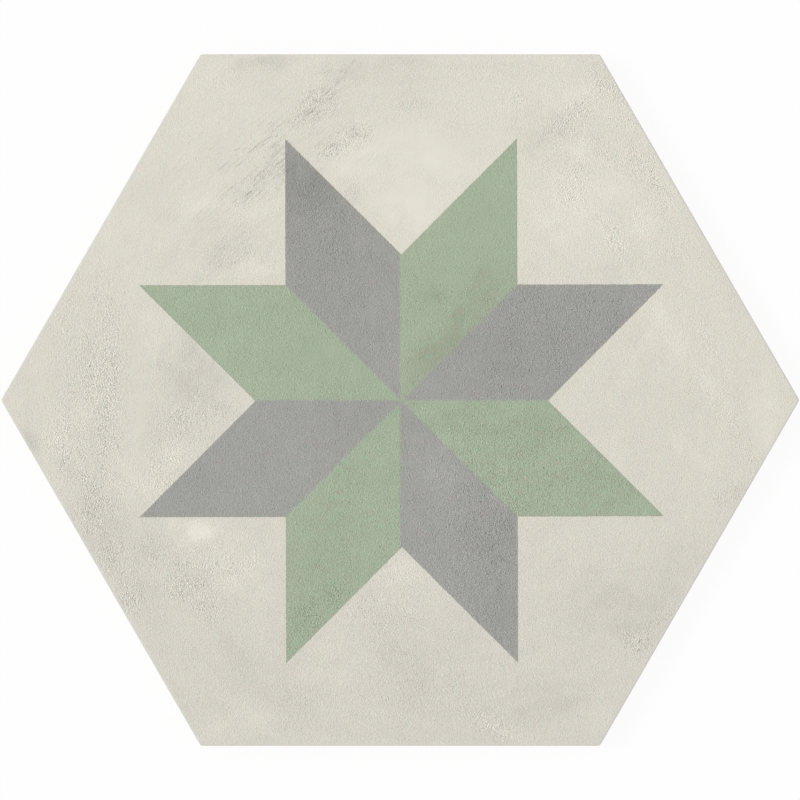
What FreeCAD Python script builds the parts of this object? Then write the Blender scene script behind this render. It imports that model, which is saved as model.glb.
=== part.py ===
"""Hexagonal porcelain floor tile, pressed and fired as one piece.

The face is flat with an eased arris. Below its upright land the edge leans in to a smaller
foot. The back carries a honeycomb of shallow pockets with drafted walls, and the ribs between
them and the plain border round them are what the tile rests on. Its printed star has no
thickness, so it is no part of the solid.

Sizes are in millimetres. The origin is the centre of the foot, +Z points up through the face,
and two of the six corners lie on the X axis.
"""

import FreeCAD
import Part

import math
import os

across_corners = 250.0  # between the points where the sides would meet, were they not rounded
thickness = 10.0  # from the ribs of the back to the face
corner_radius = 1.0  # the six upright corners of the outline
arris_radius = 0.5  # the eased edge round the face
foot_height = 2.5  # the lowest stretch of the edge, which leans in towards the back
foot_setback = 0.6  # how far the foot's outline lies inside the face's

border_width = 8.0  # the least plain margin between the foot's outline and the pockets
pocket_width = 13.0  # a pocket's mouth, across its flats
pocket_depth = 0.8  # from the ribs to a pocket's floor
pocket_draft = 30.0  # degrees that a pocket's walls lean, so that the punch comes free
rib_width = 2.0  # between the mouths of two pockets

SIDES = 6
HALF_TURN_OF_A_SIDE = math.radians(180 / SIDES)
CUTTER_OVERLAP = 0.5  # how far a pocket's cutter starts below the back, for a clean cut


def direction(angle):
    """The unit vector in the tile's plane at an angle in radians from +X."""
    return FreeCAD.Vector(math.cos(angle), math.sin(angle), 0)


def polygon_face(corners):
    """The flat face inside a loop of corners."""
    return Part.Face(Part.makePolygon(corners + corners[:1]))


def rounded_hexagon(apothem, radius):
    """The tile's outline in the plane of the back: six straight sides joined by tangent arcs."""
    straight = (apothem - radius) * math.tan(HALF_TURN_OF_A_SIDE)
    arc_centre_reach = (apothem - radius) / math.cos(HALF_TURN_OF_A_SIDE)
    edges = []
    for side in range(SIDES):
        towards_side = (2 * side + 1) * HALF_TURN_OF_A_SIDE
        towards_corner = towards_side + HALF_TURN_OF_A_SIDE
        towards_next = towards_corner + HALF_TURN_OF_A_SIDE
        along = direction(towards_side + math.pi / 2)
        arc_centre = direction(towards_corner) * arc_centre_reach
        start = direction(towards_side) * apothem - along * straight
        end = arc_centre + direction(towards_side) * radius
        corner = arc_centre + direction(towards_corner) * radius
        after = arc_centre + direction(towards_next) * radius
        edges.append(Part.LineSegment(start, end).toShape())
        edges.append(Part.Arc(end, corner, after).toShape())
    return Part.Wire(edges)


def edges_at(shape, z):
    """The edges of a shape that lie wholly at height z."""
    return [
        edge
        for edge in shape.Edges
        if abs(edge.BoundBox.ZMin - z) < 1e-6 and abs(edge.BoundBox.ZMax - z) < 1e-6
    ]


def tile_body():
    """The tile with a plain back: an eased face, an upright land and a foot that leans in."""
    apothem = across_corners / 2 * math.cos(HALF_TURN_OF_A_SIDE)
    outline = rounded_hexagon(apothem, corner_radius)
    blank = Part.Face(outline).extrude(FreeCAD.Vector(0, 0, thickness))
    eased = blank.makeFillet(arris_radius, edges_at(blank, thickness))
    return eased.makeChamfer(foot_height, foot_setback, edges_at(eased, 0))


def pocket_corners(apothem, z):
    """The six corners of a pocket's outline at height z, with one corner towards +Y."""
    reach = apothem / math.cos(HALF_TURN_OF_A_SIDE)
    corner_angles = [(2 * k + 1) * HALF_TURN_OF_A_SIDE for k in range(SIDES)]
    return [direction(angle) * reach + FreeCAD.Vector(0, 0, z) for angle in corner_angles]


def pocket_cutter():
    """One pocket of the back, centred on the origin: a shallow frustum with six flat walls."""
    lean = math.tan(math.radians(pocket_draft))
    below = pocket_corners(pocket_width / 2 + CUTTER_OVERLAP * lean, -CUTTER_OVERLAP)
    floor = pocket_corners(pocket_width / 2 - pocket_depth * lean, pocket_depth)
    faces = [polygon_face(below), polygon_face(floor)]
    for k in range(SIDES):
        faces.append(polygon_face([below[k - 1], below[k], floor[k], floor[k - 1]]))
    return Part.makeSolid(Part.makeShell(faces))


def pocket_centres():
    """The middles of the pockets: whole rings of a honeycomb, as many as the border leaves."""
    pitch = pocket_width + rib_width
    row_rise = pitch * math.cos(HALF_TURN_OF_A_SIDE)
    pocket_tip = pocket_width / 2 / math.cos(HALF_TURN_OF_A_SIDE)
    foot_apothem = across_corners / 2 * math.cos(HALF_TURN_OF_A_SIDE) - foot_setback
    rings = math.floor((foot_apothem - border_width - pocket_tip) / row_rise)
    for row in range(-rings, rings + 1):
        for step in range(max(-rings, -rings - row), min(rings, rings - row) + 1):
            yield FreeCAD.Vector(pitch * (step + row / 2), row_rise * row, 0)


def keyed_back(body):
    """The body with the honeycomb of pockets pressed into its back."""
    pocket = pocket_cutter()
    cutters = [pocket.translated(centre) for centre in pocket_centres()]
    return body.cut(cutters).Solids[0]


def main():
    os.makedirs("parts", exist_ok=True)
    tile = keyed_back(tile_body())
    tile.exportStep("parts/hexagon_tile.step")


main()
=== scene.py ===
"""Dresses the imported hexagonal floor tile: its modelled body, its troweled face with the printed
star, its fired back, and a plain studio round it.

Lengths in the properties are in metres, as the frame's are. The marks on the face and the
print's pattern are worked out in millimetres from the middle of the face.
"""

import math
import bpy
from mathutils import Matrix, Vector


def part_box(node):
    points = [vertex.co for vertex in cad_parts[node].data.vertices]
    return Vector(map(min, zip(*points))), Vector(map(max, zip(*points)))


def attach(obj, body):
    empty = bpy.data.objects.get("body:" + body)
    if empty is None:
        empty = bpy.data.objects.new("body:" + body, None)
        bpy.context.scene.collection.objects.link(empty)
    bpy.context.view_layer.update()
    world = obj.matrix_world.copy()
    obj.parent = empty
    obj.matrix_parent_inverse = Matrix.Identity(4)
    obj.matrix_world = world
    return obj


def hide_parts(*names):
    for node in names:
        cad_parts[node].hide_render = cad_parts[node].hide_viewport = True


bl_info = {
    "name": "Hexagon floor tile",
    "version": (1, 0, 0),
    "blender": (4, 5, 0),
    "location": "3D View > Sidebar > Tile",
    "description": "Builds a hexagonal porcelain floor tile with a printed star",
    "category": "Add Mesh",
}

from typing import NamedTuple

import bpy
import numpy as np
from bpy.props import FloatProperty, FloatVectorProperty, IntProperty, PointerProperty
from mathutils import Vector, noise

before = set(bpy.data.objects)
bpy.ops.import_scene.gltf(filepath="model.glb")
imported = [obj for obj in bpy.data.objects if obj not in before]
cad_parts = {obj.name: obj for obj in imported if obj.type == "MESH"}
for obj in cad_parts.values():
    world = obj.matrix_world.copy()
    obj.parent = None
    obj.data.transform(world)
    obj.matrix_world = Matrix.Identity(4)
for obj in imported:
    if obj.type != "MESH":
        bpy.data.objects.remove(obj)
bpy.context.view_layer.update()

NODE = "hexagon_tile"

MM = 0.001
SIDES = 6
COS_30 = math.cos(math.pi / SIDES)

LOW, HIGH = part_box(NODE)
THICKNESS = HIGH.z - LOW.z
ACROSS_CORNERS = (HIGH.y - LOW.y) / COS_30


def srgb(red, green, blue):
    """A colour for the shader from its 8-bit picture values."""

    def linear(level):
        share = level / 255
        return share / 12.92 if share <= 0.04045 else ((share + 0.055) / 1.055) ** 2.4

    return tuple(linear(level) for level in (red, green, blue))


# Marks on the face


class Mark(NamedTuple):
    """A soft patch on the face: its middle, half lengths and turn, and what it does there.

    x, y, long and wide are in millimetres and turn is in degrees. tone lightens or darkens the
    glaze, grit roughens it, drag scores it along the trowel's stroke, dip sinks it and stain
    browns it.
    """

    x: float
    y: float
    long: float
    wide: float
    turn: float = 0
    tone: float = 0
    grit: float = 0
    drag: float = 0
    dip: float = 0
    stain: float = 0


EFFECTS = Mark._fields[5:]  # what a mark does, after where it lies

# the trowel's strokes that rise to the right, from the left notch to the top edge
DRAGGED_CORNER = (
    Mark(-42, 76, 46, 20, 42, grit=-0.2, drag=0.35),
    Mark(-85, 60, 26, 14, 60, grit=-0.1),
    Mark(-42, 106, 8, 4, 20, tone=-1.0, grit=0.1),
    Mark(-26, 94, 8, 5, 46, tone=-0.5, grit=0.8, drag=0.8, dip=0.05),
    Mark(-18, 101, 6, 3, 46, tone=-0.25, drag=0.4),
    Mark(-38, 84, 12, 3, 42, tone=-0.1, grit=0.3, drag=0.7),
    Mark(-15, 83, 7, 4, 35, tone=-0.35, grit=1.1, drag=0.4, dip=0.04),
    Mark(-22, 79, 5, 2.5, 30, tone=-0.25, grit=0.5, drag=0.6),
    Mark(-15, 65, 3, 4, 0, tone=-0.55, grit=0.2),
    Mark(-46, 67, 13, 4, 42, tone=-0.3, grit=0.35, drag=0.7, dip=0.03),
    Mark(-39, 73, 6, 5, 40, tone=-0.45, grit=0.2, drag=0.4),
    Mark(-50, 77, 12, 3, 40, drag=0.6),
    Mark(-51, 49, 8, 5, 45, tone=-0.4, grit=0.3, drag=0.3),
    Mark(-59, 42, 7, 3.5, 45, tone=-0.45, drag=0.3),
    Mark(-60, 62, 6, 3, 10, tone=0.6),
    Mark(-66, 60, 12, 4, 50, tone=0.25),
    Mark(-47, 58, 6, 5, 0, tone=0.3),
    Mark(-48, 42, 10, 3, 0, tone=0.45),
    Mark(-91, 52, 12, 6, 60, tone=0.35),
    Mark(-8, 103, 18, 4, 0, tone=-0.36),
    Mark(-4, 107, 14, 3, 0, tone=-0.4),
    Mark(28, 104, 22, 4, 0, tone=-0.24),
    Mark(60, 104, 8, 5, 0, tone=-0.2),
)
# the light glaze in the star's top notch
BRIGHT_NOTCH = (
    Mark(0, 71, 20, 17, 0, tone=0.14),
    Mark(3, 61, 10, 11, 0, tone=0.52, grit=-0.45),
    Mark(-9, 70, 8, 8, 45, tone=0.2),
    Mark(13, 66, 10, 8, 30, tone=0.25),
    Mark(-17, 74, 8, 5, 20, tone=0.48, grit=-0.15),
    Mark(13, 77, 13, 7, 0, tone=0.35, grit=-0.4),
    Mark(-3, 81, 10, 5, 0, tone=0.33, grit=-0.3),
    Mark(1, 92, 8, 3, 0, tone=-0.4, grit=0.25),
    Mark(2, 99, 26, 8, 0, tone=-0.2),
)
# the grit towards the upper right corner
GRITTY_CORNER = (
    Mark(50, 85, 11, 8, 15, tone=-0.53, grit=0.05),
    Mark(42, 83, 7, 5, 0, tone=-0.42),
    Mark(56, 89, 9, 5, 35, tone=-0.1, grit=0.68, dip=0.04),
    Mark(66, 97, 10, 4, -60, tone=-0.5, grit=0.8),
    Mark(57, 79, 4, 4, 20, tone=0.6),
    Mark(54, 70, 6, 8, 0, grit=0.6),
    Mark(54, 63, 4, 3, 0, grit=0.4, tone=0.1),
    Mark(52, 58, 14, 10, 0, tone=0.35),
    Mark(64, 66, 8, 6, -20, tone=0.35),
    Mark(76, 55, 5, 7, 0, tone=0.45, grit=0.3),
    Mark(67, 50, 8, 3, -55, grit=0.8),
    Mark(67, 41, 6, 3, 0, tone=-0.35),
    Mark(66, 75, 8, 3, -40, tone=-0.28, grit=0.4),
    Mark(78, 72, 12, 4, -60, tone=-0.3, grit=0.8),
    Mark(84, 46, 6, 3, 20, tone=-0.1, grit=0.4),
    Mark(54, 95, 6, 3, 30, tone=0.25),
    Mark(37, 94, 4, 3, 0, grit=0.4),
)
# the light slanting bands at the right corner
PALE_BANDS = (
    Mark(83, 24, 14, 3, -62, tone=0.4, grit=0.1),
    Mark(96, 5, 14, 3, -55, tone=0.35, grit=0.2),
    Mark(99, 14, 12, 2, -58, tone=0.15, grit=0.4),
    Mark(75, 15, 16, 2, 62, tone=0.3),
    Mark(91, -16, 9, 2.5, -35, tone=0.3),
    Mark(106, -13, 14, 3, -55, tone=-0.2, grit=0.4),
    Mark(77, 5, 4, 12, 0, tone=-0.22, grit=-0.1),
    Mark(90, 2, 4, 8, 25, tone=-0.15),
    Mark(115, -4, 6, 13, 10, tone=0.4, grit=-0.1),
    Mark(66, -16, 5, 9, 0, tone=0.2),
    Mark(104, -28, 7, 5, 0, tone=-0.45, grit=0.4),
)
# the rough upright strip at the left corner
LEFT_STRIP = (
    Mark(-90, 14, 4, 26, 1, tone=-0.27, grit=0.55),
    Mark(-97, 12, 5.5, 22, 0, tone=-0.3, grit=0.6),
    Mark(-104, 10, 5, 26, 4, grit=0.25),
    Mark(-94, 6, 4, 7, 0, grit=0.45),
    Mark(-91, -11, 4.5, 11, 0, tone=-0.2, grit=0.6),
    Mark(-105, -15, 6, 9, 15, grit=0.8),
    Mark(-95, -32, 7, 10, 5, tone=-0.25, grit=0.9),
    Mark(-92, -44, 17, 9, -58, tone=-0.35),
    Mark(-90, -48, 10, 5, -55, tone=-0.1, grit=0.65),
    Mark(-84, -62, 6, 5, 0, tone=-0.3, grit=0.7),
    Mark(-116, -13, 4, 2, -60, tone=-0.85),
    Mark(-105, -20, 3, 2.5, 0, tone=-0.4),
    Mark(-101, -5, 4, 4, 0, tone=0.35),
    Mark(-114, 8, 10, 5, 60, tone=0.22, grit=-0.1),
    Mark(-84, -25, 12, 4, -50, tone=0.4),
    Mark(-82, 2, 2.5, 28, 0, tone=0.1, grit=-0.3),
)
# the dark glaze in the star's left notch
DARK_NOTCH = (
    Mark(-66, 9, 10, 9, 20, tone=-0.72, grit=0.15),
    Mark(-60, 5, 8, 11, 0, tone=-0.42, grit=-0.15),
    Mark(-64, 19, 9, 4, 60, tone=-0.4),
    Mark(-63, -5, 8, 6, 20, tone=-0.28, grit=0.78),
    Mark(-73, -10, 9, 5, 35, tone=-0.28, grit=0.2),
    Mark(-71, -17, 7, 4, 35, tone=0.45, grit=0.4),
    Mark(-75, -24, 7, 7, 0, tone=0.1, grit=0.5),
    Mark(-76, 20, 4, 12, -10, tone=0.25),
)
# the bright spot under the left arm, and the grit and the strokes below it
LOWER_LEFT = (
    Mark(-65, -41, 6, 4.5, -10, tone=1.25, grit=-0.1),
    Mark(-80, -46, 6, 4, -60, tone=-0.35, grit=0.3),
    Mark(-52, -46, 12, 7, 0, tone=0.3),
    Mark(-62, -47, 14, 5, 0, grit=0.35),
    Mark(-66, -57, 9, 6, 0, tone=-0.25, grit=0.8),
    Mark(-60, -65, 6, 4, 0, tone=-0.2, grit=0.6),
    Mark(-50, -52, 7, 4, 20, tone=0.15, grit=0.5),
    Mark(-54, -57, 5, 4, 0, tone=0.4),
    Mark(-44, -60, 5, 8, 0, tone=0.25),
    Mark(-52, -80, 14, 5, -65, tone=-0.3),
    Mark(-46, -101, 9, 5, -15, tone=0.45),
    Mark(-57, -104, 6, 4, 0, tone=0.35),
    Mark(-32, -96, 8, 6, -40, tone=-0.3, grit=0.15),
    Mark(-25, -84, 10, 6, 45, tone=0.3),
)
# the dull patches under the star and in the lower right corner
LOWER_RIGHT = (
    Mark(0, -54, 8, 5, 0, tone=0.45, grit=0.4),
    Mark(-5, -66, 12, 7, 0, grit=0.25),
    Mark(-4, -75, 13, 7, -60, tone=-0.28, grit=0.1),
    Mark(6, -86, 15, 11, -40, tone=-0.31, grit=0.12),
    Mark(45, -95, 13, 6, 10, tone=-0.53),
    Mark(33, -104, 7, 2, -25, tone=0.6, grit=0.4, dip=-0.02),
    Mark(27, -101, 10, 3, -40, tone=-0.3, grit=0.4),
    Mark(73, -64, 14, 9, 10, tone=-0.55),
    Mark(76, -73, 12, 6, -20, tone=-0.2),
    Mark(74.5, -76, 5, 3.5, -30, tone=-0.24, grit=0.8, dip=0.05),
    Mark(79, -71, 5, 1.5, 25, tone=-0.1, grit=0.6),
    Mark(0, -93, 60, 13, 0, grit=0.1),
    Mark(55, -62, 12, 9, 20, tone=-0.25),
    Mark(86, -52, 8, 6, 40, tone=-0.35),
    Mark(62, -99, 5, 6, 0, tone=0.3),
    Mark(22, -68, 8, 8, 0, tone=-0.15),
    Mark(84, -66, 3, 3, 0, grit=0.5),
)
GROUND_MARKS = (
    *DRAGGED_CORNER,
    *BRIGHT_NOTCH,
    *GRITTY_CORNER,
    *PALE_BANDS,
    *LEFT_STRIP,
    *DARK_NOTCH,
    *LOWER_LEFT,
    *LOWER_RIGHT,
)

# each arm's own depth of ink, then the patches within the arms
INK_MARKS = (
    Mark(-22, 46, 20, 44, 0, tone=-0.37, grit=0.12),
    Mark(22, 46, 20, 44, 0, tone=-0.04, grit=-0.3),
    Mark(46, 22, 44, 20, 0, tone=-0.3, grit=0.38),
    Mark(46, -22, 44, 20, 0, tone=-0.1, grit=0.3, stain=0.42),
    Mark(22, -46, 20, 44, 0, tone=0.09, grit=0.4),
    Mark(-22, -46, 20, 44, 0, tone=-0.04, stain=0.3, grit=0.05),
    Mark(-46, -22, 44, 20, 0, tone=0.2, grit=0.05),
    Mark(-46, 22, 44, 20, 0, tone=0.18, stain=-0.1),
    Mark(-31, 67, 9, 9, 0, tone=-0.7),
    Mark(-24, 55, 10, 14, 0, grit=0.2),
    Mark(-5, 12, 5, 10, 20, tone=0.25),
    Mark(16, 19, 22, 6, 45, stain=0.8),
    Mark(9, 13, 11, 5, 50, grit=-0.3, stain=0.6),
    Mark(28, 34, 8, 6, 50, tone=0.08, grit=-0.1, stain=0.35),
    Mark(10.6, 32.4, 3.5, 2.5, 0, tone=-0.2, stain=0.5),
    Mark(26, 39, 6, 3, 50, tone=-0.15, stain=0.45),
    Mark(16.6, 26.6, 4, 2, 30, stain=0.3),
    Mark(10, 62, 6, 8, 30, tone=0.2),
    Mark(37, 8, 4, 3, 0, tone=-0.4),
    Mark(33, 17, 8, 6, 0, tone=-0.25),
    Mark(38, 29, 6, 4, 0, grit=0.25),
    Mark(76, 32, 8, 4, 20, tone=0.2),
    Mark(32, 4, 5, 4, 0, grit=0.3),
    Mark(50, 10, 6, 6, 0, grit=0.25),
    Mark(22, -8, 22, 6, 0, tone=-0.3),
    Mark(48, -19, 18, 5, 30, tone=0.3),
    Mark(54, -31, 14, 4, 10, tone=0.25),
    Mark(73, -34, 9, 4, 20, tone=0.12),
    Mark(14, -20, 5, 14, 0, tone=0.45),
    Mark(5, -25, 4, 18, 0, tone=0.2),
    Mark(28, -44, 9, 12, 0, tone=-0.5, grit=0.25),
    Mark(31, -64, 6, 14, 0, tone=-0.45),
    Mark(34, -38, 3, 3, 0, tone=-0.35),
    Mark(-21, -61, 4, 3, 0, tone=-0.5, grit=0.8),
    Mark(-27, -65, 3, 3, 0, grit=1.3),
    Mark(-30, -70, 6, 7, 0, tone=-0.25, grit=0.4),
    Mark(-70, -29, 9, 4, 40, tone=-0.15),
    Mark(-22, 15, 10, 5, -40, tone=0.2, grit=-0.3),
    Mark(-28, 14, 12, 6, -20, grit=-0.3),
    Mark(-62, -26, 8, 6, 30, tone=-0.2),
    Mark(-58, 27, 16, 6, 0, tone=-0.15),
    Mark(-8, 36, 6, 14, 0, tone=0.15),
)


# Nodes written as sums


def plug(tree, value, socket):
    """Feeds a socket from a node's output or sets it to a plain value."""
    if isinstance(value, Number):
        value = value.socket
    if isinstance(value, bpy.types.NodeSocket):
        tree.links.new(value, socket)
    elif socket.type == "RGBA":
        socket.default_value = (*value, 1.0)
    else:
        socket.default_value = value


def add_node(tree, kind, inputs=(), **settings):
    """A new node with its settings, and its inputs fed by name or by place."""
    node = tree.nodes.new(kind)
    for name, value in settings.items():
        setattr(node, name, value)
    for key, value in dict(inputs).items():
        plug(tree, value, node.inputs[key])
    return node


class Number:
    """A number that a node tree works out, so that its rule can be written as a sum."""

    def __init__(self, tree, socket):
        self.tree = tree
        self.socket = socket

    def sum(self, operation, *values):
        """The number that a math node makes of some values."""
        node = add_node(self.tree, "ShaderNodeMath", enumerate(values), operation=operation)
        return Number(self.tree, node.outputs[0])

    def by(self, operation):
        """What a math node makes of this number alone."""
        return self.sum(operation, self)

    def __add__(self, other):
        return self.sum("ADD", self, other)

    def __radd__(self, other):
        return self.sum("ADD", other, self)

    def __sub__(self, other):
        return self.sum("SUBTRACT", self, other)

    def __rsub__(self, other):
        return self.sum("SUBTRACT", other, self)

    def __mul__(self, other):
        return self.sum("MULTIPLY", self, other)

    def __truediv__(self, other):
        return self.sum("DIVIDE", self, other)

    def __gt__(self, other):
        return self.sum("GREATER_THAN", self, other)

    def __lt__(self, other):
        return self.sum("LESS_THAN", self, other)

    def __abs__(self):
        return self.by("ABSOLUTE")

    def least(self, other):
        return self.sum("MINIMUM", self, other)

    def most(self, other):
        return self.sum("MAXIMUM", self, other)

    def clamped(self):
        return self.most(0.0).least(1.0)

    def rise(self, start, end):
        """0 before start and 1 after end, with a soft climb between them."""
        node = add_node(
            self.tree,
            "ShaderNodeMapRange",
            {0: self, 1: start, 2: end, 3: 0.0, 4: 1.0},
            interpolation_type="SMOOTHSTEP",
        )
        return Number(self.tree, node.outputs[0])


# The body's rule

WELD_REACH = 0.01 * MM  # points closer than this become one
TINY = 1e-6  # keeps a division away from zero


def tree_with_inputs(name, inputs):
    """A Geometry Nodes tree with named inputs, and those inputs by name."""
    tree = bpy.data.node_groups.new(name, "GeometryNodeTree")
    kinds = {float: "NodeSocketFloat", int: "NodeSocketInt"}
    for label, value in inputs.items():
        if isinstance(value, bpy.types.Material):
            socket = tree.interface.new_socket(label, in_out="INPUT", socket_type="NodeSocketMaterial")
            continue
        socket = tree.interface.new_socket(label, in_out="INPUT", socket_type=kinds[type(value)])
        socket.default_value = value
    tree.interface.new_socket("Geometry", in_out="OUTPUT", socket_type="NodeSocketGeometry")
    entry = add_node(tree, "NodeGroupInput")
    return tree, {label: Number(tree, entry.outputs[label]) for label in inputs}


def separated(tree, vector):
    """The three numbers of a vector."""
    node = add_node(tree, "ShaderNodeSeparateXYZ", {0: vector})
    return [Number(tree, socket) for socket in node.outputs]


def combined(tree, x, y, z):
    """A vector of three numbers."""
    return add_node(tree, "ShaderNodeCombineXYZ", {0: x, 1: y, 2: z}).outputs[0]


def placed(tree, geometry, position, selection=True):
    """A geometry with its points set by a rule."""
    inputs = {"Geometry": geometry, "Selection": selection, "Position": position}
    return add_node(tree, "GeometryNodeSetPosition", inputs).outputs[0]


def joined(tree, *parts):
    """Several geometries as one."""
    node = add_node(tree, "GeometryNodeJoinGeometry")
    for part in parts:
        tree.links.new(part, node.inputs[0])
    return node.outputs[0]


def shell_of_face_and_edge(tree, size):
    """The face, arris, land and foot as one skin: three rhombic nets with the rings of a hexagon.

    A ring within Face Rings lies on the flat face. The rings outside it go down round the arris,
    the land and the foot.
    """
    rings = size["Face Rings"] + size["Arris Rings"] + size["Land Rings"] + size["Foot Rings"]
    net = add_node(
        tree,
        "GeometryNodeMeshGrid",
        {"Size X": 1.0, "Size Y": 1.0, "Vertices X": rings + 1, "Vertices Y": rings + 1},
    ).outputs[0]
    x, y, _ = separated(tree, add_node(tree, "GeometryNodeInputPosition").outputs[0])
    across, up = x + 0.5, y + 0.5
    outermost = across.most(up)
    ring = outermost * rings

    past_face = ring - size["Face Rings"]
    round_arris = (past_face / size["Arris Rings"]).clamped()
    down_land = ((past_face - size["Arris Rings"]) / size["Land Rings"]).clamped()
    down_foot = ((past_face - size["Arris Rings"] - size["Land Rings"]) / size["Foot Rings"]).clamped()
    angle = round_arris * (math.pi / 2)
    inset = size["Arris Radius"] * (1 - angle.by("SINE")) + size["Foot Setback"] * down_foot
    height = (
        size["Thickness"]
        - size["Arris Radius"] * (1 - angle.by("COSINE"))
        - (size["Thickness"] - size["Arris Radius"] - size["Foot Height"]) * down_land
        - size["Foot Height"] * down_foot
    )
    apothem = (size["Across Corners"] * (COS_30 / 2) - inset) * (ring / size["Face Rings"]).least(1.0)

    # a corner lies where a ring meets one of the rhombus's sides or its diagonal
    along_side = across.least(up) / outermost.most(TINY)
    from_corner = along_side.least(1 - along_side)
    at_corner = (from_corner < 1e-4) * (past_face > -0.5)
    bend = (size["Corner Radius"] - inset).most(0.0)
    trim = 1 - at_corner * bend * (1 - COS_30) / apothem.most(TINY)
    reach = apothem / COS_30 * trim / outermost.most(TINY)

    corner = combined(
        tree,
        (across - up * 0.5) * reach,
        up * reach * COS_30,
        height,
    )
    third = placed(tree, net, corner)
    thirds = [
        add_node(
            tree,
            "GeometryNodeTransform",
            {"Geometry": third, "Rotation": (0.0, 0.0, 2 * math.pi / 3 * turn)},
        ).outputs[0]
        for turn in range(3)
    ]
    whole = add_node(
        tree, "GeometryNodeMergeByDistance", {"Geometry": joined(tree, *thirds), "Distance": WELD_REACH}
    ).outputs[0]
    return add_node(
        tree, "GeometryNodeTriangulate", {"Mesh": whole}, quad_method="SHORTEST_DIAGONAL"
    ).outputs[0]


def pocket_outline(tree, size, width):
    """A pocket's mouth as a filled six-sided shape with its corners taken off."""
    ring = add_node(
        tree, "GeometryNodeMeshCircle", {"Vertices": SIDES, "Radius": width / (2 * COS_30)}
    ).outputs[0]
    curve = add_node(tree, "GeometryNodeMeshToCurve", {"Mesh": ring}).outputs[0]
    eased = add_node(
        tree,
        "GeometryNodeFilletCurve",
        {"Curve": curve, "Count": 1, "Radius": size["Pocket Corner"]},
        mode="POLY",
    ).outputs[0]
    return add_node(
        tree, "GeometryNodeTransform", {"Geometry": eased, "Rotation": (0.0, 0.0, math.pi / SIDES)}
    ).outputs[0]


def pocket_bowl(tree, size, outline):
    """One pocket: a lip, a leaning wall, a soft foot and a floor, pressed up into the back."""
    bowl = add_node(tree, "GeometryNodeFillCurve", {"Curve": outline}, mode="NGONS").outputs[0]
    bowl = add_node(tree, "GeometryNodeFlipFaces", {"Mesh": bowl}).outputs[0]
    lean = size["Pocket Draft"].by("TANGENT")
    wall_run = size["Pocket Depth"] * lean
    ease = size["Pocket Ease"]
    # how far in and how deep each step lies: the lip starts outside the mouth and the soft foot
    # ends inside the floor
    steps = (
        (ease * 0.35, ease * 0.25),
        (wall_run * 0.85, size["Pocket Depth"] - ease * 0.3),
        (wall_run + ease * 0.7, size["Pocket Depth"]),
    )
    half = size["Pocket Width"] * 0.5
    before = half
    floor = True
    for run, depth in steps:
        node = add_node(
            tree,
            "GeometryNodeExtrudeMesh",
            {"Mesh": bowl, "Selection": floor, "Offset Scale": 0.0},
            mode="FACES",
        )
        floor = node.outputs["Top"]
        x, y, _ = separated(tree, add_node(tree, "GeometryNodeInputPosition").outputs[0])
        shrink = (half - run) / before
        bowl = placed(tree, node.outputs["Mesh"], combined(tree, x * shrink, y * shrink, depth), floor)
        before = half - run
    return bowl


def honeycomb_points(tree, size):
    """The pockets' middles: whole rings round the first, as many as the border leaves."""
    pitch = size["Pocket Width"] + size["Rib Width"]
    row_rise = pitch * COS_30
    foot_apothem = size["Across Corners"] * (COS_30 / 2) - size["Foot Setback"]
    room = foot_apothem - size["Border Width"] - size["Pocket Width"] / (2 * COS_30)
    rings = (room / row_rise).by("FLOOR")
    count = rings * 2 + 1
    net = add_node(
        tree,
        "GeometryNodeMeshGrid",
        {"Size X": rings * 2, "Size Y": rings * 2, "Vertices X": count, "Vertices Y": count},
    ).outputs[0]
    step, row, _ = separated(tree, add_node(tree, "GeometryNodeInputPosition").outputs[0])
    outside = abs(step + row) > rings + 0.5
    kept = add_node(
        tree, "GeometryNodeDeleteGeometry", {"Geometry": net, "Selection": outside}, domain="POINT"
    ).outputs[0]
    return placed(tree, kept, combined(tree, (step + row * 0.5) * pitch, row * row_rise, 0.0))


def repeated(tree, points, shape):
    """A shape at each of the points, as real geometry."""
    copies = add_node(
        tree, "GeometryNodeInstanceOnPoints", {"Points": points, "Instance": shape}
    ).outputs[0]
    return add_node(tree, "GeometryNodeRealizeInstances", {"Geometry": copies}).outputs[0]


def tile_tree(inputs):
    """The tree that makes the whole tile: its skin, its ribs and border, and its pockets."""
    tree, size = tree_with_inputs("Hexagon tile body", inputs)
    skin = shell_of_face_and_edge(tree, size)
    edge_faces = add_node(tree, "GeometryNodeInputMeshEdgeNeighbors").outputs[0]
    is_rim = Number(tree, edge_faces) < 1.5
    foot_curve = add_node(
        tree, "GeometryNodeMeshToCurve", {"Mesh": skin, "Selection": is_rim}
    ).outputs[0]

    points = honeycomb_points(tree, size)
    outline = pocket_outline(tree, size, size["Pocket Width"])
    mouths = repeated(tree, points, outline)
    ribs = add_node(
        tree, "GeometryNodeFillCurve", {"Curve": joined(tree, foot_curve, mouths)}, mode="TRIANGLES"
    ).outputs[0]
    ribs = add_node(tree, "GeometryNodeFlipFaces", {"Mesh": ribs}).outputs[0]
    pockets = repeated(tree, points, pocket_bowl(tree, size, outline))

    closed = add_node(
        tree,
        "GeometryNodeMergeByDistance",
        {"Geometry": joined(tree, skin, ribs, pockets), "Distance": WELD_REACH},
    ).outputs[0]
    real = add_node(tree, "GeometryNodeRealizeInstances", {"Geometry": closed}).outputs[0]
    painted = add_node(
        tree, "GeometryNodeSetMaterial", {"Geometry": real, "Material": size["Material"]}
    ).outputs[0]
    tree.links.new(painted, add_node(tree, "NodeGroupOutput").inputs[0])
    return tree


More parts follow.
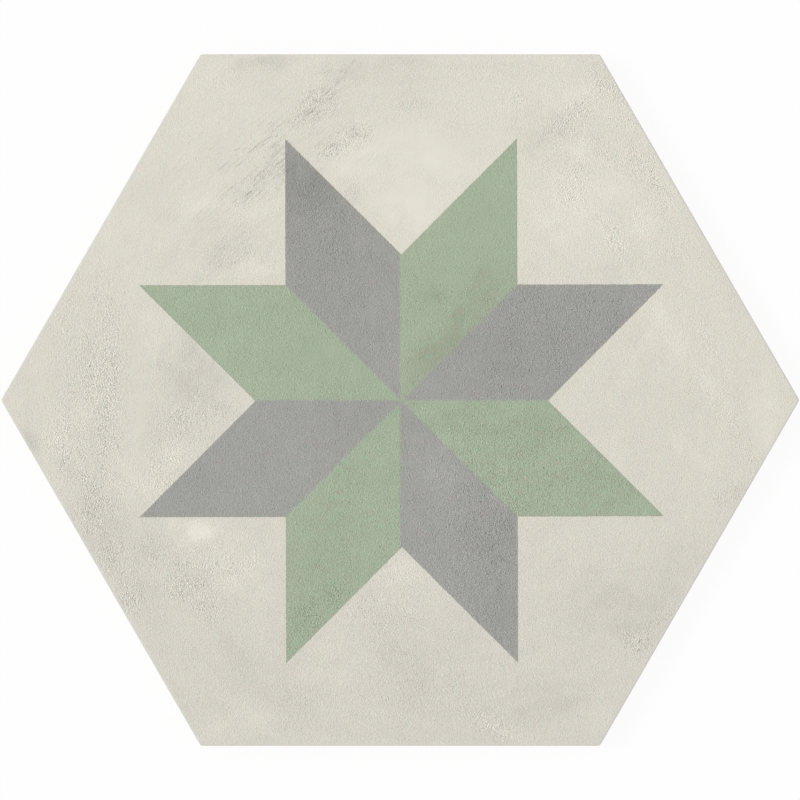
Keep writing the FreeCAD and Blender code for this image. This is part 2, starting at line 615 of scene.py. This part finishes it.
def evaluated_once(tree, inputs):
    """The plain mesh that a tree gives for a set of inputs."""
    carrier = bpy.data.objects.new("tile rule", bpy.data.meshes.new("tile rule"))
    bpy.context.scene.collection.objects.link(carrier)
    modifier = carrier.modifiers.new("Tile", "NODES")
    modifier.node_group = tree
    for item in tree.interface.items_tree:
        if item.in_out == "INPUT":
            modifier[item.identifier] = inputs[item.name]
    depsgraph = bpy.context.evaluated_depsgraph_get()
    mesh = bpy.data.meshes.new_from_object(carrier.evaluated_get(depsgraph), depsgraph=depsgraph)
    carrier.modifiers.remove(modifier)
    bpy.data.objects.remove(carrier)
    return mesh


# Relief of the face, with sizes in millimetres

WAVE_SIZE = 42.0  # the trowel's broad waves
GRIT_SIZE = 1.9  # the coarse grit, which is real relief
PLAIN_GRIT = 0.15  # the share of that grit where no mark lies
RELIEF_RUN_OUT = 0.8  # how far below the face its relief ends
MARK_END = 2.6  # where a mark ends, in half lengths from its middle
MARK_FALL = 1.3  # how steeply a mark fades towards its end
WISP_SIZE = 5.5  # the wisps that a mark's edge breaks up into
WISP_PULL = 0.75  # how far, in half lengths, the wisps pull that edge in and out
CREASE = math.radians(35)  # edges sharper than this are shaded as creases


def soft(share):
    """A smooth climb from 0 to 1 of an array of shares."""
    share = np.clip(share, 0, 1)
    return share * share * (3 - 2 * share)


def clouds(x, y, size, seed, octaves=3):
    """Soft noise from about -1 to 1 over the face, with billows of a size in millimetres."""
    return np.array(
        [
            noise.fractal(Vector((px, py, seed * 17.3)), 1.0, 2.0, octaves)
            for px, py in zip((x / size).tolist(), (y / size).tolist())
        ]
    )


def strength_of(mark, x, y):
    """How strongly a mark is there at each point, from 0 to 1, with an edge drawn out along it."""
    turn = math.radians(mark.turn)
    along = (x - mark.x) * math.cos(turn) + (y - mark.y) * math.sin(turn)
    across = (y - mark.y) * math.cos(turn) - (x - mark.x) * math.sin(turn)
    away = np.hypot(along / mark.long, across / mark.wide)
    share = np.zeros(len(x))
    near = away < MARK_END
    grain = math.sqrt(mark.long / mark.wide)
    wisps = clouds(along[near] / grain, across[near] * grain, WISP_SIZE, mark.x + mark.y)
    share[near] = np.exp(-MARK_FALL * np.maximum(away[near] - WISP_PULL * wisps, 0) ** 2)
    return share * soft(MARK_END - away)


def marks_at(marks, x, y):
    """What a set of marks adds up to at each point, by name."""
    total = {name: np.zeros(len(x)) for name in EFFECTS}
    for mark in marks:
        share = strength_of(mark, x, y)
        for name, amount in total.items():
            amount += getattr(mark, name) * share
    return total


def press_relief(mesh, relief, thickness):
    """Trowels the face: sinks it by small waves and marks, and keeps how each point is marked."""
    count = len(mesh.vertices)
    points = np.empty(count * 3, np.float32)
    mesh.vertices.foreach_get("co", points)
    points = points.reshape(-1, 3)
    run_out = RELIEF_RUN_OUT * MM
    on_face = soft((points[:, 2] - (thickness - run_out)) / run_out)
    face = np.nonzero(on_face > 0)[0]
    x, y = (points[face, axis].astype(float) / MM for axis in (0, 1))

    ground = marks_at(GROUND_MARKS, x, y)
    ink = marks_at(INK_MARKS, x, y)
    waves = relief.wave_depth / MM * (0.5 + 0.5 * clouds(x, y, WAVE_SIZE, 2))
    rough = PLAIN_GRIT + np.clip(ground["grit"] + ink["grit"], 0, 1.5)
    fine = relief.grit_depth / MM * rough * (0.5 + 0.5 * clouds(x, y, GRIT_SIZE, 3, 2))
    sunk = waves + fine + ground["dip"]
    sunk -= sunk.min()
    points[face, 2] -= (sunk * MM * on_face[face]).astype(np.float32)
    mesh.vertices.foreach_set("co", points.ravel())

    kept = {
        "ground_tone": ground["tone"],
        "ground_grit": ground["grit"],
        "ground_drag": ground["drag"],
        "ink_tone": ink["tone"],
        "ink_grit": ink["grit"],
        "ink_stain": ink["stain"],
    }
    for name, values in kept.items():
        whole = np.zeros(count, np.float32)
        whole[face] = values
        mesh.attributes.new(name, "FLOAT", "POINT").data.foreach_set("value", whole)
    mesh.update()


def shade(mesh):
    """Smooth rounds and crisp creases, with the ribs and the pockets' floors flat."""
    mesh.shade_smooth()
    mesh.set_sharp_from_angle(angle=CREASE)
    normals = np.empty(len(mesh.polygons) * 3, np.float32)
    mesh.polygons.foreach_get("normal", normals)
    faces_straight_down = normals[2::3] < -0.9999
    mesh.polygons.foreach_set("use_smooth", ~faces_straight_down)


# Glaze and body, with the sizes of grains and strokes in millimetres

LIT_SHIFT = 0.08  # how far the grains move to tell their light side from their dark one, for their painted shading
SPECK_SIZE = 0.36  # the specks printed between the grains
BLOT_SIZE = 0.9  # the blots printed over them
CLUMP_SIZE = 1.7  # the clumps that grains gather in
PIT_SIZE = 0.6  # the pits of the plain ground
LONG_SCORES = (8.0, 0.45, math.radians(41))  # the trowel's scores: length, width and turn
SHORT_SCORES = (2.2, 0.6, math.radians(36))
LONG_STROKES = (34.0, 9.0)  # the trowel's round strokes: length and width
SHORT_STROKES = (9.0, 2.2)
BILLOW_SIZE = 16.0  # the clouds of tone over the whole face
PATCH_SIZE = 4.0  # the mottle within them
ROSY_SIZE = 2.2  # the rosy and the greenish tinges
GROUND_TONE = 0.14  # how much lighter a mark of tone 1 makes the ground
INK_TONE = 0.18  # and the inks
INK_WANDER = (0.8, 0.12)  # the waves of the star's outline: their size and how far they go
SEAM_WANDER = (0.9, 0.2)  # those of the seams between its arms
GLAZE_WANDER = (3.0, 0.35)  # those of the glaze's lower edge on the sides
BODY_CLOUD_SIZE = 12.0
BODY_SPECK_SIZE = 0.5
KILN_WASH_SIZE = 9.0
MATT_ROUGHNESS = 0.62
SHEEN = 0.3


def shifted(tree, place, x, y=0.0, z=0.0):
    """The place moved by so many millimetres."""
    inputs = {0: place, 1: (x, y, z)}
    return add_node(tree, "ShaderNodeVectorMath", inputs, operation="ADD").outputs[0]


def surface_noise(tree, place, size, seed, detail=0.0, roughness=0.5):
    """Noise from about -1 to 1 with grains of a size in millimetres."""
    node = add_node(
        tree,
        "ShaderNodeTexNoise",
        {
            "Vector": shifted(tree, place, seed * 31.7, seed * -17.9, seed * 5.3),
            "Scale": 1 / size,
            "Detail": detail,
            "Roughness": roughness,
        },
    )
    return Number(tree, node.outputs[0]) * 2 - 1


def stretched(tree, place, along, across, turn=0.0):
    """The place drawn out, so that noise of size 1 has grains so long and wide, turned so far."""
    node = add_node(
        tree,
        "ShaderNodeMapping",
        {"Vector": place, "Rotation": (0, 0, turn), "Scale": (along, across, across)},
        vector_type="TEXTURE",
    )
    return node.outputs[0]


def stroke_place(tree, place, length, width):
    """The place drawn out along the trowel's round strokes, which go round the tile's middle."""
    x, y, _ = separated(tree, place)
    radius = (x * x + y * y).by("SQRT")
    turns_out = 90.0 / length
    return combined(
        tree,
        x / radius.most(1.0) * turns_out,
        y / radius.most(1.0) * turns_out,
        radius / width,
    )


def attribute(tree, name):
    """What the relief kept for each point under a name."""
    return Number(tree, add_node(tree, "ShaderNodeAttribute", attribute_name=name).outputs["Fac"])


def blended(tree, share, first, second):
    """One colour over another."""
    node = add_node(tree, "ShaderNodeMix", {0: share, 6: first, 7: second}, data_type="RGBA")
    return node.outputs[2]


def lit_and_tinted(tree, colour, light, rosy):
    """A colour made lighter by a factor, and rosier or, where rosy is negative, greener."""
    factors = combined(
        tree,
        light * (1 + rosy),
        light * (1 - rosy * 0.6),
        light * (1 - rosy * 0.3),
    )
    inputs = {0: colour, 1: factors}
    return add_node(tree, "ShaderNodeVectorMath", inputs, operation="MULTIPLY").outputs[0]


def star_outside(tree, place, print_):
    """How far a point lies outside the star's outline, in millimetres, negative inside it."""
    turned = add_node(
        tree,
        "ShaderNodeMapping",
        {
            "Vector": place,
            "Location": (print_.star_x / MM, print_.star_y / MM, 0),
            "Rotation": (0, 0, print_.star_turn),
        },
        vector_type="TEXTURE",
    ).outputs[0]
    x, y, _ = separated(tree, turned)
    far, near = abs(x).most(abs(y)), abs(x).least(abs(y))
    long_sides = near - print_.arm_half_width / MM
    slanted_sides = (far - near - print_.arm_slant / MM) * math.sqrt(0.5)
    wave, reach = INK_WANDER
    return long_sides.most(slanted_sides) + surface_noise(tree, place, wave, 11) * reach


def grey_share(tree, place, print_):
    """1 on the grey arms and 0 on the green ones, bled together at the seams between them."""
    x, y, _ = separated(tree, place)
    across, up = x - print_.seam_x / MM, y - print_.seam_y / MM
    rising = (x - y - (print_.star_x - print_.star_y) / MM) * math.sqrt(0.5)
    falling = (x + y - (print_.star_x + print_.star_y) / MM) * math.sqrt(0.5)
    seams = (across, up, rising, falling)
    sign, nearest = across.by("SIGN"), abs(across)
    for seam in seams[1:]:
        sign = sign * seam.by("SIGN")
        nearest = nearest.least(abs(seam))
    bleed = print_.seam_bleed / MM
    wave, reach = SEAM_WANDER
    ragged = surface_noise(tree, place, wave, 12) * reach
    return (sign * nearest + ragged).rise(-bleed, bleed)


def edge_distance(tree, place):
    """How far a point lies inside the tile's outline, in millimetres."""
    x, y, _ = separated(tree, place)
    reach = abs(y).most(abs(x) * COS_30 + abs(y) * 0.5)
    return ACROSS_CORNERS / MM * COS_30 / 2 - reach


def glaze_grain(tree, place, inked, relief):
    """The glaze's grit: how strong it is, the light and dark it paints into the colour, partly specks
    and partly painted shading, and its height in mm.
    """
    size = relief.grain_size / MM

    def grains(aside):
        return surface_noise(tree, shifted(tree, place, aside), size, 21)

    fine = grains(0.0)
    # painted shading: the light and dark that a light from the left gives the grains is painted faintly
    # into the glaze's colour
    lit = grains(LIT_SHIFT) - grains(-LIT_SHIFT)
    specks = surface_noise(tree, place, SPECK_SIZE, 28)
    medium = surface_noise(tree, place, BLOT_SIZE, 22)
    clumps = surface_noise(tree, place, CLUMP_SIZE, 26) * 0.6 + 1
    pits = surface_noise(tree, place, PIT_SIZE, 23).rise(0.22, 0.6) * (1 - inked)

    on_ground = (relief.ground_grain + attribute(tree, "ground_grit")).most(0.1)
    on_ink = (relief.ink_grain + attribute(tree, "ink_grit")).most(0.2)
    amount = (on_ground + (on_ink - on_ground) * inked).least(1.5)
    drag = attribute(tree, "ground_drag").most(0.0)
    long_place = stretched(tree, place, *LONG_SCORES)
    short_place = stretched(tree, place, *SHORT_SCORES)
    long_scores = surface_noise(tree, long_place, 1.0, 24, detail=1.0).rise(0.12, 0.45)
    short_scores = surface_noise(tree, short_place, 1.0, 27, detail=1.0).rise(0.2, 0.5)
    scores = (long_scores + short_scores) * drag

    # the pits are painted darker as well as sunk: painted shade in them
    blots = medium * 0.08 - pits * amount * 0.025
    # the colour change mixes the specks and blots with the painted shading of the grains in lit
    printed = (lit * 0.42 + specks * 0.35 + fine * 0.05 + blots) * amount * clumps
    # painted light where the grit is strong, to make up for the shade its bumps give, and painted shade
    # in the sunk scores
    printed = printed + amount * 0.034 - scores * 0.23
    height = (fine * 0.08 + medium * 0.04 - pits * amount * 0.03) * amount * clumps - scores * 0.04
    return amount, printed, height


def printed_face(tree, place, grain, outside, inked, print_):
    """The face's colour: the troweled ground, the two inks and the thin glaze at the rim, with the
    grain's painted shading and painted light, lighter towards the top.
    """
    long_place = stroke_place(tree, place, *LONG_STROKES)
    long_strokes = surface_noise(tree, long_place, 1.0, 1, detail=5.0, roughness=0.6)
    short_place = stroke_place(tree, place, *SHORT_STROKES)
    short_strokes = surface_noise(tree, short_place, 1.0, 25, detail=3.0)
    billows = surface_noise(tree, place, BILLOW_SIZE, 9, detail=4.0, roughness=0.6)
    billows = long_strokes * 1.2 + billows
    patches = surface_noise(tree, place, PATCH_SIZE, 2, detail=3.0, roughness=0.6)
    drag = attribute(tree, "ground_drag").most(0.0)
    mottle = short_strokes * (0.6 + drag) + patches * 0.8
    rosy = surface_noise(tree, place, ROSY_SIZE, 4, detail=1.5)
    _, up, _ = separated(tree, place)

    # painted light: up * 0.0005 makes the ground lighter towards the top and darker towards the bottom
    tone = attribute(tree, "ground_tone") * GROUND_TONE + billows * 0.04 + mottle * 0.035 + up * 0.0005
    # grain brings the specks and the painted shading of the grains, pits and scores into the ground's
    # colour
    ground = lit_and_tinted(tree, print_.ground, 1 + tone + grain, rosy * 0.032)
    tone = attribute(tree, "ink_tone") * INK_TONE + billows * 0.04 + mottle * 0.04
    stain = attribute(tree, "ink_stain").clamped()
    stain = (stain + stain.least(0.35) * rosy).clamped()
    green = blended(tree, stain * 0.8, print_.green, print_.stain)
    ink = blended(tree, grey_share(tree, place, print_), green, print_.grey)
    blush = rosy * (stain.least(0.45) * 0.11 + 0.03)
    # and the same painted shading into the inks' colour
    ink = lit_and_tinted(tree, ink, 1 + tone + grain * 0.92, blush)
    ink = blended(tree, outside.rise(-0.75, -0.15) * 0.3, ink, print_.outline)
    face = blended(tree, inked, ground, ink)
    rim = edge_distance(tree, place).rise(1.3, 0.2)
    return blended(tree, rim * 0.45, face, print_.thin_glaze)


def fired_body(tree, place, print_):
    """The bare body's colour, with kiln wash on what lay on the kiln's rollers."""
    _, _, height = separated(tree, place)
    billows = surface_noise(tree, place, BODY_CLOUD_SIZE, 6, detail=4.0)
    specks = surface_noise(tree, place, BODY_SPECK_SIZE, 7).rise(0.45, 0.6)
    wash = surface_noise(tree, place, KILN_WASH_SIZE, 8, detail=5.0, roughness=0.7)
    wash = wash + (0.3 - height)
    body = blended(tree, wash.rise(0.0, 0.5) * 0.6, print_.body, print_.kiln_wash)
    return lit_and_tinted(tree, body, 1 + billows * 0.1 - specks * 0.22, 0.0)


def tile_material(print_, relief):
    """Printed matt glaze over a fired body that shows on the sides and the back."""
    material = bpy.data.materials.new("printed_porcelain")
    material.use_nodes = True
    tree = material.node_tree
    shader = tree.nodes["Principled BSDF"]

    in_metres = add_node(tree, "ShaderNodeTexCoord").outputs["Object"]
    inputs = {0: in_metres, 3: 1 / MM}
    place = add_node(tree, "ShaderNodeVectorMath", inputs, operation="SCALE").outputs[0]
    _, _, height = separated(tree, place)
    outside = star_outside(tree, place, print_)
    inked = outside.rise(0.12, -0.12)
    # grain is the glaze's specks and blots together with painted shading and painted light
    amount, grain, bump_height = glaze_grain(tree, place, inked, relief)
    face = printed_face(tree, place, grain, outside, inked, print_)

    # the glaze stops a little way down the sides, and the bare body shows below it
    glaze_end = (THICKNESS - print_.glaze_run) / MM
    wave, reach = GLAZE_WANDER
    ragged = surface_noise(tree, place, wave, 5, detail=2.0) * reach
    glazed = (height + ragged).rise(glaze_end - 0.12, glaze_end + 0.12)
    colour = blended(tree, glazed, fired_body(tree, place, print_), face)
    plug(tree, colour, shader.inputs["Base Color"])

    inputs = {"Strength": 1.0, "Distance": MM, "Height": bump_height}
    bump = add_node(tree, "ShaderNodeBump", inputs)
    plug(tree, bump.outputs[0], shader.inputs["Normal"])
    roughness = MATT_ROUGHNESS + amount * 0.05 + (1 - glazed) * 0.2
    plug(tree, roughness, shader.inputs["Roughness"])
    shader.inputs["Specular IOR Level"].default_value = SHEEN
    return material


# Settings


class TileBodySettings(bpy.types.PropertyGroup):
    """The tile's sizes, as its solid has them, and how finely its skin is divided."""

    across_corners: FloatProperty(
        name="Across corners",
        description="Between the points where the sides would meet, were they not rounded",
        default=ACROSS_CORNERS,
        unit="LENGTH",
    )
    thickness: FloatProperty(
        name="Thickness",
        description="From the ribs of the back to the face",
        default=THICKNESS,
        unit="LENGTH",
    )
    corner_radius: FloatProperty(
        name="Corner radius",
        description="Of the six upright corners",
        default=1.0 * MM,
        unit="LENGTH",
    )
    arris_radius: FloatProperty(
        name="Arris radius",
        description="Of the eased edge round the face",
        default=0.5 * MM,
        unit="LENGTH",
    )
    foot_height: FloatProperty(
        name="Foot height",
        description="Of the edge's leaning lowest stretch",
        default=2.5 * MM,
        unit="LENGTH",
    )
    foot_setback: FloatProperty(
        name="Foot setback",
        description="How far the foot lies inside the face",
        default=0.6 * MM,
        unit="LENGTH",
    )
    border_width: FloatProperty(
        name="Border width",
        description="The least plain margin round the pockets",
        default=8.0 * MM,
        unit="LENGTH",
    )
    pocket_width: FloatProperty(
        name="Pocket width",
        description="A pocket's mouth across its flats",
        default=13.0 * MM,
        unit="LENGTH",
    )
    pocket_depth: FloatProperty(
        name="Pocket depth",
        description="From the ribs to a pocket's floor",
        default=0.8 * MM,
        unit="LENGTH",
    )
    pocket_draft: FloatProperty(
        name="Pocket draft",
        description="How far a pocket's walls lean",
        default=math.radians(30),
        subtype="ANGLE",
    )
    pocket_corner: FloatProperty(
        name="Pocket corner",
        description="The radius of a pocket's corners",
        default=0.9 * MM,
        unit="LENGTH",
    )
    pocket_ease: FloatProperty(
        name="Pocket ease",
        description="The softness of a pocket's lip and foot",
        default=0.3 * MM,
        unit="LENGTH",
    )
    rib_width: FloatProperty(
        name="Rib width",
        description="Between the mouths of two pockets",
        default=2.0 * MM,
        unit="LENGTH",
    )
    face_rings: IntProperty(
        name="Face rings", description="Divisions from the middle to a corner", default=146
    )
    arris_rings: IntProperty(name="Arris rings", description="Steps round the arris", default=5)
    land_rings: IntProperty(name="Land rings", description="Steps down the upright land", default=4)
    foot_rings: IntProperty(name="Foot rings", description="Steps down the leaning foot", default=2)


class TileReliefSettings(bpy.types.PropertyGroup):
    """How deep the trowel and the grit mark the face."""

    wave_depth: FloatProperty(
        name="Wave depth",
        description="Of the broad troweled waves",
        default=0.06 * MM,
        unit="LENGTH",
    )
    grit_depth: FloatProperty(
        name="Grit depth",
        description="Of the coarse grit where it is strongest",
        default=0.06 * MM,
        unit="LENGTH",
    )
    grain_size: FloatProperty(
        name="Grain size", description="Of the finest grain", default=0.35 * MM, unit="LENGTH"
    )
    ground_grain: FloatProperty(
        name="Ground grain",
        description="How strong the fine grain is on the plain ground",
        default=0.48,
        subtype="FACTOR",
    )
    ink_grain: FloatProperty(
        name="Ink grain",
        description="How strong the fine grain is on the inks",
        default=0.82,
        subtype="FACTOR",
    )


class TilePrintSettings(bpy.types.PropertyGroup):
    """The printed star, its inks and the body's colour."""

    arm_half_width: FloatProperty(
        name="Arm half width",
        description="From the star's axis to an arm's long side",
        default=36.32 * MM,
        unit="LENGTH",
    )
    arm_slant: FloatProperty(
        name="Arm slant",
        description="From an arm's inner corner to the level of its tip",
        default=45.82 * MM,
        unit="LENGTH",
    )
    star_x: FloatProperty(
        name="Star X",
        description="How far the print sits from the middle",
        default=0.44 * MM,
        unit="LENGTH",
    )
    star_y: FloatProperty(
        name="Star Y",
        description="How far the print sits from the middle",
        default=-0.21 * MM,
        unit="LENGTH",
    )
    star_turn: FloatProperty(
        name="Star turn",
        description="How far the print is turned on the tile",
        default=math.radians(0.12),
        subtype="ANGLE",
    )
    seam_x: FloatProperty(
        name="Seam X", description="Where the upright seam lies", default=-0.08 * MM, unit="LENGTH"
    )
    seam_y: FloatProperty(
        name="Seam Y", description="Where the level seam lies", default=-0.03 * MM, unit="LENGTH"
    )
    seam_bleed: FloatProperty(
        name="Seam bleed",
        description="How far two inks run into each other",
        default=0.5 * MM,
        unit="LENGTH",
    )
    glaze_run: FloatProperty(
        name="Glaze run",
        description="How far the glaze runs down the sides",
        default=1.4 * MM,
        unit="LENGTH",
    )
    ground: FloatVectorProperty(
        name="Ground",
        description="The off-white round the star",
        default=srgb(214, 210.3, 198.5),
        subtype="COLOR",
    )
    grey: FloatVectorProperty(
        name="Grey", description="The grey ink", default=srgb(156.7, 156.6, 152.1), subtype="COLOR"
    )
    green: FloatVectorProperty(
        name="Green",
        description="The sage green ink",
        default=srgb(161.4, 175.2, 152),
        subtype="COLOR",
    )
    stain: FloatVectorProperty(
        name="Stain",
        description="The brownish stain on the green ink",
        default=srgb(154, 161, 141),
        subtype="COLOR",
    )
    outline: FloatVectorProperty(
        name="Outline",
        description="The thin browned edge of the inks",
        default=srgb(166, 161, 145),
        subtype="COLOR",
    )
    thin_glaze: FloatVectorProperty(
        name="Thin glaze",
        description="The greyer glaze on the arris",
        default=srgb(214, 212, 206),
        subtype="COLOR",
    )
    body: FloatVectorProperty(
        name="Body",
        description="The fired body under the glaze",
        default=srgb(205, 196, 180),
        subtype="COLOR",
    )
    kiln_wash: FloatVectorProperty(
        name="Kiln wash",
        description="The white powder left on the back",
        default=srgb(228, 224, 215),
        subtype="COLOR",
    )


class StageSettings(bpy.types.PropertyGroup):
    """The floor, the light and the camera."""

    frame_width: FloatProperty(
        name="Frame width",
        description="What the picture's width takes in at the face",
        default=250.45 * MM,
        unit="LENGTH",
    )
    camera_x: FloatProperty(
        name="Camera X", description="Where the camera hangs", default=-0.07 * MM, unit="LENGTH"
    )
    camera_y: FloatProperty(
        name="Camera Y", description="Where the camera hangs", default=0.02 * MM, unit="LENGTH"
    )
    lens: FloatProperty(
        name="Lens", description="Focal length, long for a flat view", default=400.0, unit="CAMERA"
    )
    key_share: FloatProperty(
        name="Key share",
        description="How much of the light on the face the key gives",
        default=0.24,
        subtype="FACTOR",
    )
    key_elevation: FloatProperty(
        name="Key elevation",
        description="The key's height over the floor",
        default=math.radians(50),
        subtype="ANGLE",
    )
    key_azimuth: FloatProperty(
        name="Key azimuth",
        description="Where the key stands, from +X",
        default=math.radians(172),
        subtype="ANGLE",
    )
    key_softness: FloatProperty(
        name="Key softness",
        description="How wide the key looks from the tile",
        default=math.radians(22),
        subtype="ANGLE",
    )
    floor_size: FloatProperty(
        name="Floor size", description="The floor's side", default=6.0, unit="LENGTH"
    )
    shadow_share: FloatProperty(
        name="Shadow share",
        description="How much of a shadow shows on the white floor",
        default=0.08,
        subtype="FACTOR",
    )


# Studio

WHITE = (1.0, 1.0, 1.0)
PALE = (0.9, 0.9, 0.9)  # the floor as the light meets it


def seen_directly(tree):
    """The share of a ray that sees the backdrop itself: a camera, glossy or transmitted one."""
    path = add_node(tree, "ShaderNodeLightPath")
    seen = Number(tree, path.outputs["Is Camera Ray"])
    for name in ("Is Glossy Ray", "Is Transmission Ray"):
        seen = seen.most(Number(tree, path.outputs[name]))
    return seen


def floor_paint(stage):
    """Pale matt paint, which looks white where it is seen directly but for a share of shadow."""
    paint = bpy.data.materials.new("pale_floor")
    paint.use_nodes = True
    tree = paint.node_tree
    tree.nodes.clear()
    matt = add_node(tree, "ShaderNodeBsdfDiffuse", {"Color": PALE}).outputs[0]
    white = add_node(tree, "ShaderNodeEmission", {"Color": WHITE, "Strength": 1.0}).outputs[0]
    seen = seen_directly(tree) * (1 - stage.shadow_share)
    mixed = add_node(tree, "ShaderNodeMixShader", {0: seen, 1: matt, 2: white}).outputs[0]
    tree.links.new(mixed, add_node(tree, "ShaderNodeOutputMaterial").inputs[0])
    return paint


def studio_world(stage):
    """Even light from all round for what the key leaves, and plain white where seen directly."""
    world = bpy.data.worlds.new("studio")
    world.use_nodes = True
    tree = world.node_tree
    tree.nodes.clear()
    fill = 1 - stage.key_share
    strength = fill + seen_directly(tree) * (1 - fill)
    sky = add_node(tree, "ShaderNodeBackground", {"Color": WHITE, "Strength": strength})
    tree.links.new(sky.outputs[0], add_node(tree, "ShaderNodeOutputWorld").inputs[0])
    return world


def key_lamp(stage):
    """The soft key light, low enough at the left to show the face's relief."""
    lamp = bpy.data.lights.new("key", "SUN")
    lamp.energy = math.pi * stage.key_share / math.sin(stage.key_elevation)
    lamp.angle = stage.key_softness
    level = math.cos(stage.key_elevation)
    towards = Vector(
        (
            level * math.cos(stage.key_azimuth),
            level * math.sin(stage.key_azimuth),
            math.sin(stage.key_elevation),
        )
    )
    key = bpy.data.objects.new("key", lamp)
    key.location = towards
    key.rotation_mode = "QUATERNION"
    key.rotation_quaternion = towards.to_track_quat("Z", "Y")
    return key


def camera_over(stage):
    """The camera, which looks straight down on the face from far away."""
    lens = bpy.data.cameras.new("camera")
    lens.lens = stage.lens
    lens.clip_start = 0.1
    lens.clip_end = 20
    distance = stage.frame_width / 2 * lens.lens / (lens.sensor_width / 2)
    camera = bpy.data.objects.new("camera", lens)
    camera.location = (stage.camera_x, stage.camera_y, THICKNESS + distance)
    return camera


# Operators


class HEXTILE_OT_tile(bpy.types.Operator):
    """Build the tile over its solid, trowel its face and give it its printed glaze"""

    bl_idname = "hextile.tile"
    bl_label = "Build the tile"
    bl_options = {"REGISTER", "UNDO"}

    def execute(self, context):
        body = context.scene.hextile_body
        relief = context.scene.hextile_relief
        material = tile_material(context.scene.hextile_print, relief)
        inputs = {
            "Across Corners": body.across_corners,
            "Thickness": body.thickness,
            "Corner Radius": body.corner_radius,
            "Arris Radius": body.arris_radius,
            "Foot Height": body.foot_height,
            "Foot Setback": body.foot_setback,
            "Border Width": body.border_width,
            "Pocket Width": body.pocket_width,
            "Pocket Depth": body.pocket_depth,
            "Pocket Draft": body.pocket_draft,
            "Pocket Corner": body.pocket_corner,
            "Pocket Ease": body.pocket_ease,
            "Rib Width": body.rib_width,
            "Face Rings": body.face_rings,
            "Arris Rings": body.arris_rings,
            "Land Rings": body.land_rings,
            "Foot Rings": body.foot_rings,
            "Material": material,
        }
        mesh = evaluated_once(tile_tree(inputs), inputs)
        mesh.name = "porcelain_tile"
        press_relief(mesh, relief, body.thickness)
        shade(mesh)
        tile = bpy.data.objects.new("porcelain_tile", mesh)
        context.scene.collection.objects.link(tile)
        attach(tile, "root")
        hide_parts(NODE)
        return {"FINISHED"}


class HEXTILE_OT_stage(bpy.types.Operator):
    """Lay the pale floor and set up the soft light and the camera over the tile"""

    bl_idname = "hextile.stage"
    bl_label = "Set the stage"
    bl_options = {"REGISTER", "UNDO"}

    def execute(self, context):
        scene = context.scene
        stage = scene.hextile_stage
        half = stage.floor_size / 2
        corners = [(-half, -half, 0), (half, -half, 0), (half, half, 0), (-half, half, 0)]
        mesh = bpy.data.meshes.new("floor")
        mesh.from_pydata(corners, [], [(0, 1, 2, 3)])
        floor = bpy.data.objects.new("floor", mesh)
        scene.collection.objects.link(floor)
        mesh.materials.append(floor_paint(stage))

        scene.world = studio_world(stage)
        scene.collection.objects.link(key_lamp(stage))
        camera = camera_over(stage)
        scene.collection.objects.link(camera)
        scene.camera = camera
        scene.view_settings.view_transform = "Standard"
        return {"FINISHED"}


class HEXTILE_PT_panel(bpy.types.Panel):
    """Lists the tile's settings and what builds it"""

    bl_label = "Hexagon floor tile"
    bl_idname = "HEXTILE_PT_panel"
    bl_space_type = "VIEW_3D"
    bl_region_type = "UI"
    bl_category = "Tile"

    def draw(self, context):
        for operator in OPERATORS:
            self.layout.operator(operator.bl_idname)
        for name in SETTINGS:
            box = self.layout.box()
            settings = getattr(context.scene, name)
            for prop in settings.bl_rna.properties:
                if prop.identifier not in ("rna_type", "name"):
                    box.prop(settings, prop.identifier)


SETTINGS = {
    "hextile_body": TileBodySettings,
    "hextile_relief": TileReliefSettings,
    "hextile_print": TilePrintSettings,
    "hextile_stage": StageSettings,
}
OPERATORS = (HEXTILE_OT_tile, HEXTILE_OT_stage)
CLASSES = (*SETTINGS.values(), *OPERATORS, HEXTILE_PT_panel)


def register():
    for cls in CLASSES:
        bpy.utils.register_class(cls)
    for name, group in SETTINGS.items():
        setattr(bpy.types.Scene, name, PointerProperty(type=group))


def unregister():
    for name in SETTINGS:
        delattr(bpy.types.Scene, name)
    for cls in reversed(CLASSES):
        bpy.utils.unregister_class(cls)


def main():
    register()
    bpy.ops.hextile.tile()
    bpy.ops.hextile.stage()


if __name__ == "__main__":
    main()
